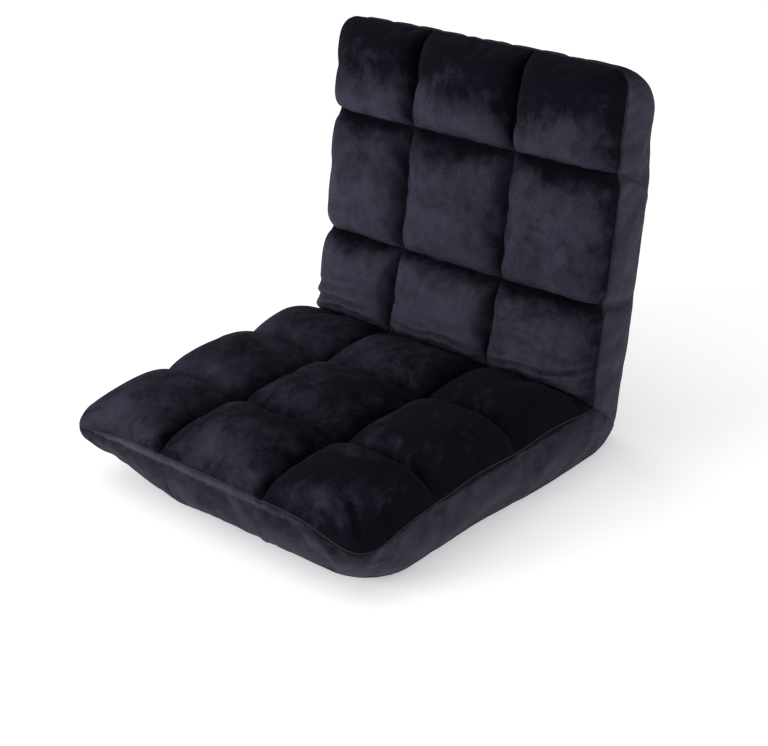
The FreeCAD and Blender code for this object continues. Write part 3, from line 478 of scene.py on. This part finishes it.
def mesh_object(name, vertices, faces):
    mesh = bpy.data.meshes.new(name)
    mesh.from_pydata([tuple(v) for v in vertices], [], [tuple(int(i) for i in f) for f in faces])
    mesh.validate()
    mesh.shade_smooth()
    obj = bpy.data.objects.new(name, mesh)
    bpy.context.scene.collection.objects.link(obj)
    return obj


def read(data, field, width=3):
    """An array with one value, or one row of values, for each item."""
    flat = np.empty(len(data) * width)
    data.foreach_get(field, flat)
    return flat.reshape(-1, width) if width > 1 else flat


def store(obj, name, kind, domain, values):
    """Keeps a value for each vertex or edge in the mesh."""
    field = "vector" if kind == "FLOAT_VECTOR" else "value"
    if kind != "BOOLEAN":
        values = values.astype(np.float32)
    obj.data.attributes.new(name, kind, domain).data.foreach_set(field, values.ravel())


def places(obj):
    return read(obj.data.vertices, "co")


def rest_places(obj):
    return read(obj.data.attributes["rest_place"].data, "vector")


def set_places(obj, co):
    obj.data.vertices.foreach_set("co", np.ascontiguousarray(co, float).ravel())
    obj.data.update()


def weight_group(obj, name, weights):
    group = obj.vertex_groups.new(name=name)
    weights = np.round(weights, 2)
    for share in np.unique(weights[weights > 0]):
        group.add([int(i) for i in np.flatnonzero(weights == share)], float(share), "REPLACE")


def make_active(obj):
    for other in bpy.context.selected_objects:
        other.select_set(False)
    obj.select_set(True)
    bpy.context.view_layer.objects.active = obj


def stuff(obj, held, wrinkled):
    """Blows the cover out against its stitching, so that it puckers where it is held."""
    before = places(obj)
    weight_group(obj, "held", held)
    weight_group(obj, "wrinkled", wrinkled)
    cloth = obj.modifiers.new("cover", "CLOTH")
    cloth.point_cache.frame_start = 1
    cloth.point_cache.frame_end = CLOTH_FRAMES
    settings = cloth.settings
    settings.quality = 6
    settings.mass = 0.25
    settings.tension_stiffness = 14
    settings.compression_stiffness = 14
    settings.shear_stiffness = 5
    settings.bending_stiffness = 0.35
    settings.use_pressure = True
    settings.uniform_pressure_force = 4.0
    settings.vertex_group_mass = "held"
    settings.vertex_group_shrink = "wrinkled"
    settings.shrink_min = -0.03
    settings.shrink_max = -0.08
    settings.effector_weights.gravity = 0.0
    for number in range(1, CLOTH_FRAMES + 1):
        bpy.context.scene.frame_set(number)
    make_active(obj)
    bpy.ops.object.modifier_apply(modifier=cloth.name)
    bpy.context.scene.frame_set(1)
    moved = places(obj) - before
    far = np.linalg.norm(moved, axis=1, keepdims=True)
    set_places(obj, before + moved * np.minimum(1.0, COVER_TRAVEL / np.maximum(far, 1e-9)))


def keep_own_side(obj, spec):
    """Presses the stuffed cover flat against the fold's middle plane and against the floor."""
    co = places(obj)
    past = co @ np.array(FOLD_NORMAL) - float(FOLD_MIDDLE.dot(Vector(FOLD_NORMAL)))
    wanted = np.minimum(past, -FOLD_GAP) if spec is SEAT else np.maximum(past, FOLD_GAP)
    co = co + (wanted - past)[:, None] * np.array(FOLD_NORMAL)
    co[:, 2] = np.maximum(co[:, 2], 0.0)
    set_places(obj, co)


def cushion(name, spec, place):
    """A closed quilted cushion with its cover in the kinds of FACE_KINDS, and its grid of vertex numbers."""
    points, lift, (u_line, t_line, v_line) = quilt(spec)
    vertices, faces, kinds, number = surface_of(held_at_fold(spec, points))
    if spec is SEAT:
        faces = faces[:, ::-1]       # seat_place mirrors t, so the faces are turned to look outwards
    obj = mesh_object(name, place(vertices), faces)
    for polygon, kind in zip(obj.data.polygons, kinds):
        polygon.material_index = FACE_KINDS.index(kind)
    store(obj, "rest_place", "FLOAT_VECTOR", "POINT", vertices)

    # The underside, the fold, the seams and the quilting are held, and the face shrinks into puckers
    top = number[:, :, -1]
    held = np.zeros(len(vertices))
    held[number[:, :, 0].ravel()] = 1.0
    held[number[:, 0].ravel()] = 1.0
    held[np.concatenate([top[0], top[-1], top[:, -1]])] = 1.0
    held[top[np.abs(u_line) > 0.999].ravel()] = 1.0
    held[top[:, np.abs(v_line) > 0.999].ravel()] = 1.0
    if spec is BACK:
        held[number[[0, -1], side_seam_line(t_line)].ravel()] = 1.0
    wrinkled = np.zeros(len(vertices))
    near_fold = np.clip(1.0 - (vertices[top.ravel(), 1] - SHRINK_START) / SHRINK_RUN, 0, 1)
    wrinkled[top.ravel()] = EVEN_SHRINK + (1.0 - EVEN_SHRINK) * near_fold * spec["fold_shrink"]
    stuff(obj, held, wrinkled)
    keep_own_side(obj, spec)
    rise = np.ones(len(vertices))
    rise[top.ravel()] = lift.ravel()
    store(obj, "tuft_rise", "FLOAT", "POINT", rise)
    return obj, number


def side_seam_line(t_line):
    """Number of the grid line that the back's cross seams follow."""
    return int(np.argmin(np.abs(t_line - SIDE_SEAM)))


def crisp_fold(obj, number):
    """Keeps the border of the fold's flat face sharp under subdivision."""
    ring = number[:, 0].copy()
    ring[1:-1, 1:-1] = -1
    on_ring = np.zeros(len(obj.data.vertices), bool)
    on_ring[ring[ring >= 0]] = True
    ends = np.empty(len(obj.data.edges) * 2, np.int32)
    obj.data.edges.foreach_get("vertices", ends)
    on_edge = on_ring[ends[::2]] & on_ring[ends[1::2]]
    store(obj, "crease_edge", "FLOAT", "EDGE", on_edge)
    store(obj, "sharp_edge", "BOOLEAN", "EDGE", on_edge)


def subdivide(obj):
    make_active(obj)
    split = obj.modifiers.new("finer", "SUBSURF")
    split.levels = 1
    bpy.ops.object.modifier_apply(modifier=split.name)


def crease_height(obj, spec):
    """Crease height at each vertex of the quilted face, 0 on the sides and at the fold."""
    x, t, n = rest_places(obj).T
    above_seam = np.clip((n - spec["seam"] - 0.001) / 0.006, 0, 1)
    off_fold = t - n / math.tan(spec["fold"]) > 0.0012
    return creased(spec["creases"], x, t) * above_seam * off_fold


def press_creases(obj, spec, place):
    outward = place(np.array([[0.0, 0.0, 1.0], [0.0, 0.0, 0.0]]))
    relief = CREASE_RELIEF * crease_height(obj, spec)
    set_places(obj, places(obj) + relief[:, None] * (outward[0] - outward[1]))


def paint_light_and_shade(obj, spec):
    """Stores painted light and shade for the pile's colour: light where a face looks down and forward, shade
    where it looks up, in the grooves and on the forward gusset, light on the left and along crease ridges.
    """
    facing = read(obj.data.vertex_normals, "vector")
    rise = read(obj.data.attributes["tuft_rise"].data, "value", 1)
    x, t, n = rest_places(obj).T
    on_face = n > spec["seam"]
    on_gusset = n < spec["seam"]
    # painted light on faces that look down and forward, painted shade on those that look up
    light_and_shade = facing @ np.array(LIGHTEST_FACING)
    # painted shade at the bottom of the quilting
    light_and_shade = light_and_shade - GROOVE_PAINTED_SHADE * np.clip(1.0 - rise / GROOVE_RISE, 0, 1) ** 1.2
    # painted shade on each row's upper part, and painted light for each row
    for k, (row_top_shade, start) in enumerate(spec["row_top_shade"]):
        low, high = spec["rows"][k], spec["rows"][k + 1]
        inside = (t >= low) & (t < high) & on_face
        wander = 0.10 * np.sin(19.0 * x + 3.0 * k) + 0.06 * np.sin(47.0 * x + 2.0)
        light_and_shade = light_and_shade + spec["row_painted_light"][k] * inside
        light_and_shade = light_and_shade - row_top_shade * inside * eased(((t - low) / (high - low) - start + wander) / TOP_SHADE_RUN)
    # painted light towards the left side, painted shade towards the right
    light_and_shade = light_and_shade - spec["left_painted_light"] * np.clip(x / SEAM_HALF, -1, 1) * on_face
    # painted shade on the gusset where it faces forward
    light_and_shade = light_and_shade - FRONT_PAINTED_SHADE * np.clip(-facing[:, 1], 0, 1) * on_gusset
    # painted light on the back's gusset where it faces sideways
    if spec is BACK:
        light_and_shade = light_and_shade + SIDE_PAINTED_LIGHT * np.abs(facing[:, 0]) * on_gusset
    # painted shade in the creases' grooves, painted light on their ridges
    light_and_shade = light_and_shade + CREASE_PAINTED_LIGHT_SHADE * crease_height(obj, spec)
    store(obj, "nap_lie", "FLOAT", "POINT", light_and_shade)


def welt(name, path, radius):
    """A thin round strip along a seam."""
    sides = 6
    ahead = np.gradient(path, axis=0)
    ahead /= np.linalg.norm(ahead, axis=1, keepdims=True)
    first = np.cross(ahead, (0.31, 0.52, 0.79))      # no seam runs this way
    first /= np.linalg.norm(first, axis=1, keepdims=True)
    second = np.cross(ahead, first)
    angles = np.arange(sides) / sides * 2 * math.pi
    rings = (path[:, None] + radius * (np.cos(angles)[None, :, None] * first[:, None]
                                       + np.sin(angles)[None, :, None] * second[:, None]))
    faces = []
    for i in range(len(path) - 1):
        for k in range(sides):
            m = (k + 1) % sides
            faces.append((i * sides + k, i * sides + m, (i + 1) * sides + m, (i + 1) * sides + k))
    faces.append(tuple(range(sides))[::-1])
    faces.append(tuple((len(path) - 1) * sides + k for k in range(sides)))
    return mesh_object(name, rings.reshape(-1, 3), faces)


def seam_path(obj, number, height):
    """Frame places along the U-shaped seam at one height of the side: 0 the lower one, -1 the upper one."""
    ring = np.concatenate([number[0, :, height], number[1:-1, -1, height], number[-1, ::-1, height]])
    return places(obj)[ring]


def flap_mesh(name):
    """The loose flap on the rear: sewn down at its top and sides, standing off along its hem."""
    across, up = FLAP_LINES_ACROSS, FLAP_LINES_UP
    u = np.linspace(-1.0, 1.0, across)[:, None] * np.ones((1, up))
    w = np.linspace(0.0, 1.0, up)[None, :] ** 1.3 * np.ones((across, 1))
    x = FLAP_HALF * u
    t = FLAP_HEM + (FLAP_TOP - FLAP_HEM) * w
    corner_x, corner_t = rounded((np.abs(x) - (FLAP_HALF - FLAP_CORNER)) / FLAP_CORNER,
                                 (t - (FLAP_TOP - FLAP_CORNER)) / FLAP_CORNER)
    x = np.where(corner_x > 0, (FLAP_HALF - FLAP_CORNER + FLAP_CORNER * corner_x) * np.sign(x), x)
    t = np.where(corner_t > 0, FLAP_TOP - FLAP_CORNER + FLAP_CORNER * corner_t, t)
    inward = np.minimum(np.clip((1 - np.abs(u)) / 0.06, 0, 1), np.clip((1 - w) / 0.10, 0, 1))
    loose = np.clip(1 - (t - FLAP_HEM) / 0.055, 0, 1) ** 1.6
    waves = 0.0030 + 0.0020 * np.sin(23.0 * x + 0.7) + 0.0012 * np.sin(51.0 * x)
    stand = 0.0012 + 0.0008 * inward + loose * waves
    stand = stand + 0.0004 * inward * np.sin(60.0 * t + 9.0 * x)
    x = x + 0.004 * loose * u
    n_inner = -SKIN - BACK["under_puff"] * rear_puff(x, t) - stand
    hem = np.clip((HEM_WIDTH - (t - FLAP_HEM)) / 0.0015, 0, 1)
    stitch = np.exp(-((t - FLAP_HEM - HEM_STITCH) / 0.0012) ** 2)
    thick = FLAP_THICKNESS + 0.0013 * hem - 0.0009 * stitch
    inner = np.stack([x, t, n_inner], -1).reshape(-1, 3)
    outer = np.stack([x, t, n_inner - thick], -1).reshape(-1, 3)
    vertices = np.concatenate([inner, outer])
    number = np.arange(across * up).reshape(across, up)
    shift = across * up
    rim = np.concatenate([number[:, 0], number[-1, 1:], number[-2::-1, -1], number[0, -2:0:-1]])
    after = np.roll(rim, -1)
    border = np.stack([rim, rim + shift, after + shift, after], -1)
    faces = np.concatenate([grid_faces(number, False), grid_faces(number, True) + shift, border])
    obj = mesh_object(name, back_place(vertices), faces)
    store(obj, "rest_place", "FLOAT_VECTOR", "POINT", vertices)
    return obj


# Materials

MIX_A = 6        # places of a colour mix node's sockets, whose names are shared with its other kinds
MIX_B = 7
MIX_RESULT = 2


def node(tree, kind, **values):
    new = tree.nodes.new(kind)
    for key, value in values.items():
        setattr(new, key, value)
    return new


def set_inputs(shader_node, values):
    for name, value in values.items():
        shader_node.inputs[name].default_value = value


def nap_and_shade_group():
    """Short plush pile: soft patches where the pile lies one way or the other, mottling and fibre tips, mixed
    with the painted light and shade that the cushion stores.
    """
    group = bpy.data.node_groups.new("plush_nap", "ShaderNodeTree")
    link = group.links.new
    inputs = {"Place": "Vector", "Lie": "Float", "Patch": "Float", "Mottle": "Float",
              "Dark": "Color", "Light": "Color", "Relief": "Float"}
    outputs = {"Color": "Color", "Roughness": "Float", "Normal": "Vector"}
    for way, sockets in (("INPUT", inputs), ("OUTPUT", outputs)):
        for name, kind in sockets.items():
            group.interface.new_socket(name=name, in_out=way, socket_type="NodeSocket" + kind)
    start = node(group, "NodeGroupInput")
    end = node(group, "NodeGroupOutput")

    def noise(scale, detail, roughness, distortion, stretch=None):
        texture = node(group, "ShaderNodeTexNoise")
        set_inputs(texture, {"Scale": scale, "Detail": detail,
                             "Roughness": roughness, "Distortion": distortion})
        place = start.outputs["Place"]
        if stretch:
            turn = node(group, "ShaderNodeMapping")
            turn.inputs["Scale"].default_value = stretch
            link(place, turn.inputs["Vector"])
            place = turn.outputs["Vector"]
        link(place, texture.inputs["Vector"])
        return texture.outputs["Fac"]

    def maths(operation, a, b):
        step = node(group, "ShaderNodeMath", operation=operation)
        for socket, value in zip(step.inputs, (a, b)):
            if isinstance(value, (int, float)):
                socket.default_value = value
            else:
                link(value, socket)
        return step.outputs[0]

    patch = noise(scale=11.0, detail=3.0, roughness=0.55, distortion=1.2)
    mottle = noise(scale=62.0, detail=5.0, roughness=0.68, distortion=0.6, stretch=(1.0, 0.7, 1.0))
    fibre = noise(scale=900.0, detail=3.0, roughness=0.7, distortion=0.0, stretch=(1.0, 0.45, 1.0))
    shade = maths("MULTIPLY", maths("SUBTRACT", patch, 0.5), start.outputs["Patch"])
    shade = maths("ADD", shade, maths("MULTIPLY", maths("SUBTRACT", mottle, 0.5), start.outputs["Mottle"]))
    shade = maths("ADD", shade, maths("MULTIPLY", maths("SUBTRACT", fibre, 0.5), 0.9))
    # the cushion's painted light and shade moves the colour between Dark and Light
    shade = maths("ADD", shade, maths("MULTIPLY", start.outputs["Lie"], 0.50))
    shade = maths("ADD", shade, 0.5)
    mix = node(group, "ShaderNodeMix", data_type="RGBA", clamp_factor=True)
    link(shade, mix.inputs["Factor"])
    link(start.outputs["Dark"], mix.inputs[MIX_A])
    link(start.outputs["Light"], mix.inputs[MIX_B])
    link(mix.outputs[MIX_RESULT], end.inputs["Color"])
    rough = node(group, "ShaderNodeMapRange")
    set_inputs(rough, {"To Min": 0.95, "To Max": 0.72})
    link(shade, rough.inputs["Value"])
    link(rough.outputs[0], end.inputs["Roughness"])
    height = maths("ADD", maths("MULTIPLY", mottle, 0.0016), maths("MULTIPLY", fibre, 0.00035))
    bump = node(group, "ShaderNodeBump")
    bump.inputs["Distance"].default_value = 1.0
    link(start.outputs["Relief"], bump.inputs["Strength"])
    link(height, bump.inputs["Height"])
    link(bump.outputs["Normal"], end.inputs["Normal"])
    return group


def plush(name, group, dark, light, patch, mottle, relief, sheen):
    """Plush cover cloth. The pattern's place comes from the cushion's own plane, and its colour carries the
    cushion's painted light and shade.
    """
    material = bpy.data.materials.new(name)
    material.use_nodes = True
    tree = material.node_tree
    shader = tree.nodes["Principled BSDF"]
    pattern = node(tree, "ShaderNodeGroup", node_tree=group)
    place = node(tree, "ShaderNodeAttribute", attribute_name="rest_place")
    # painted light and shade stored on the cushion
    light_and_shade = node(tree, "ShaderNodeAttribute", attribute_name="nap_lie")
    tree.links.new(place.outputs["Vector"], pattern.inputs["Place"])
    tree.links.new(light_and_shade.outputs["Fac"], pattern.inputs["Lie"])
    set_inputs(pattern, {"Patch": patch, "Mottle": mottle, "Relief": relief,
                         "Dark": (*dark, 1.0), "Light": (*light, 1.0)})
    tree.links.new(pattern.outputs["Color"], shader.inputs["Base Color"])
    tree.links.new(pattern.outputs["Roughness"], shader.inputs["Roughness"])
    tree.links.new(pattern.outputs["Normal"], shader.inputs["Normal"])
    set_inputs(shader, {"Sheen Weight": sheen, "Sheen Roughness": 0.42, "Sheen Tint": (0.62, 0.66, 0.86, 1.0),
                        "Specular IOR Level": 0.03})
    return material


def plain(name, colour, metallic, roughness):
    material = bpy.data.materials.new(name)
    material.use_nodes = True
    set_inputs(material.node_tree.nodes["Principled BSDF"],
               {"Base Color": (*colour, 1.0), "Metallic": metallic, "Roughness": roughness})
    return material


nap_and_shade = nap_and_shade_group()
quilt_plush = plush("quilt_plush", nap_and_shade, dark=(0.0042, 0.0041, 0.0076), light=(0.0440, 0.0425, 0.0640),
                    patch=1.05, mottle=1.0, relief=1.0, sheen=0.018)
# the same plush painted lighter on the gussets, standing in for the light that falls on them
gusset_plush = plush("gusset_plush", nap_and_shade, dark=(0.0066, 0.0066, 0.0098), light=(0.0600, 0.0580, 0.0800),
                     patch=0.5, mottle=0.6, relief=0.8, sheen=0.018)
cover_cloth = plush("cover_cloth", nap_and_shade, dark=(0.0066, 0.0066, 0.0095), light=(0.018, 0.0175, 0.023),
                    patch=0.5, mottle=0.5, relief=0.6, sheen=0.015)
seam_plush = plain("seam_plush", (0.0095, 0.0092, 0.0130), metallic=0.0, roughness=0.95)

# Finishes of the frame, the hinges and the zip, by the slots that the frame's record gives them
FINISHES = {
    "frame_steel": plain("frame_steel", (0.02, 0.02, 0.02), metallic=0.0, roughness=0.4),
    "hinge_steel": plain("hinge_steel", (0.55, 0.55, 0.53), metallic=1.0, roughness=0.38),
    "spring_steel": plain("spring_steel", (0.45, 0.45, 0.44), metallic=1.0, roughness=0.3),
    "zip": plain("zip_nylon", (0.015, 0.015, 0.017), metallic=0.0, roughness=0.5),
}
slots = {part["node"]: part["material_slot"] for part in frame["record"]["subparts"]}
for name, obj in frame["nodes"].items():
    finish = FINISHES.get(slots.get(name))
    if finish:
        obj.data.materials.clear()
        obj.data.materials.append(finish)

# The cushions and their seams
seat, seat_number = cushion("seat_cushion", SEAT, seat_place)
back, back_number = cushion("back_cushion", BACK, back_place)
seam_pieces = []
cushions = ((seat, seat_number, SEAT, seat_place), (back, back_number, BACK, back_place))
for obj, number, spec, place in cushions:
    for material in (quilt_plush, gusset_plush, cover_cloth, gusset_plush):      # in the order of FACE_KINDS
        obj.data.materials.append(material)
    crisp_fold(obj, number)
    subdivide(obj)
    press_creases(obj, spec, place)
    paint_light_and_shade(obj, spec)
    for label, height in (("upper", -1), ("lower", 0)):
        piece_name = obj.name.split("_")[0] + "_" + label + "_seam"
        seam_pieces.append(welt(piece_name, seam_path(obj, number, height), radius=0.0009))

flap = flap_mesh("rear_cover_flap")
flap.data.materials.append(cover_cloth)
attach(flap, "back")
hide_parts("rear_flap")

side_line = side_seam_line(grid_lines(BACK["rows"], ALONG_RISE, ROW_CELLS)[0])
for label, side in (("left", -1), ("right", 0)):
    path = places(back)[back_number[side, side_line, :]]
    seam_pieces.append(welt("back_side_seam_" + label, path, radius=0.0008))

for obj in [seat, back] + seam_pieces:
    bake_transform(obj)
for obj in seam_pieces:
    obj.data.materials.append(seam_plush)
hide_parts("seat_rear_row", "seat_middle_row", "seat_front_row", "seat_base_pad",
            "seat_bottom_cloth", "corner_wrap")
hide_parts("back_low_row", "back_middle_row", "back_head_row", "back_base_pad", "back_rear_cloth")

# Studio: a pale floor, a pale surround and soft light from the upper left
bpy.context.scene.view_settings.view_transform = "Standard"
bpy.ops.mesh.primitive_plane_add(size=40.0, location=(0.0, 0.0, -0.0005))
floor = bpy.context.active_object
floor.name = "floor"
floor_pale = plain("floor_pale", (0.90, 0.90, 0.90), metallic=0.0, roughness=0.8)
set_inputs(floor_pale.node_tree.nodes["Principled BSDF"],
           {"Emission Color": (1.0, 0.99, 1.0, 1.0), "Emission Strength": 0.36})
floor.data.materials.append(floor_pale)

world = bpy.data.worlds.new("surround")
bpy.context.scene.world = world
world.use_nodes = True
set_inputs(world.node_tree.nodes["Background"], {"Color": (0.97, 0.975, 1.0, 1.0), "Strength": 0.50})


def turned(place, aim):
    """The turn of a light or camera at one place that looks at another."""
    return (Vector(aim) - Vector(place)).to_track_quat("-Z", "Y")


def scene_object(name, data):
    obj = bpy.data.objects.new(name, data)
    bpy.context.scene.collection.objects.link(obj)
    return obj


def softbox(name, place, aim, size, power):
    light = bpy.data.lights.new(name, "AREA")
    light.shape = "SQUARE"
    light.size = size
    light.energy = power
    obj = scene_object(name, light)
    obj.location = place
    obj.rotation_euler = turned(place, aim).to_euler()


sun = bpy.data.lights.new("even_light", "SUN")
sun.energy = 0.85
sun.angle = math.radians(70.0)
scene_object("even_light", sun).rotation_euler = turned((-1.2, -0.1, 1.5), (0.0, 0.0, 0.0)).to_euler()
softbox("front_light", (-1.4, -2.6, 0.9), (0.0, 0.0, 0.25), size=1.4, power=55.0)
softbox("side_light", (2.6, 0.1, 0.7), (0.1, 0.1, 0.25), size=1.2, power=11.0)

# Camera solved from the photograph
AIM = Vector((0.013, AXIS_Y - 0.1902, 0.110))
AZIMUTH = math.radians(41.41)
ELEVATION = math.radians(26.06)
DISTANCE = 2.250
ROLL = math.radians(-1.09)
camera_data = bpy.data.cameras.new("camera")
camera_data.lens = 77.6
camera_data.sensor_width = 36.0
camera_data.clip_end = 100.0
camera = scene_object("camera", camera_data)
bpy.context.scene.camera = camera
towards_camera = Vector((math.sin(AZIMUTH) * math.cos(ELEVATION),
                         -math.cos(AZIMUTH) * math.cos(ELEVATION), math.sin(ELEVATION)))
camera.location = AIM + DISTANCE * towards_camera
camera.rotation_euler = (turned(camera.location, AIM) @ Quaternion((0.0, 0.0, 1.0), ROLL)).to_euler()
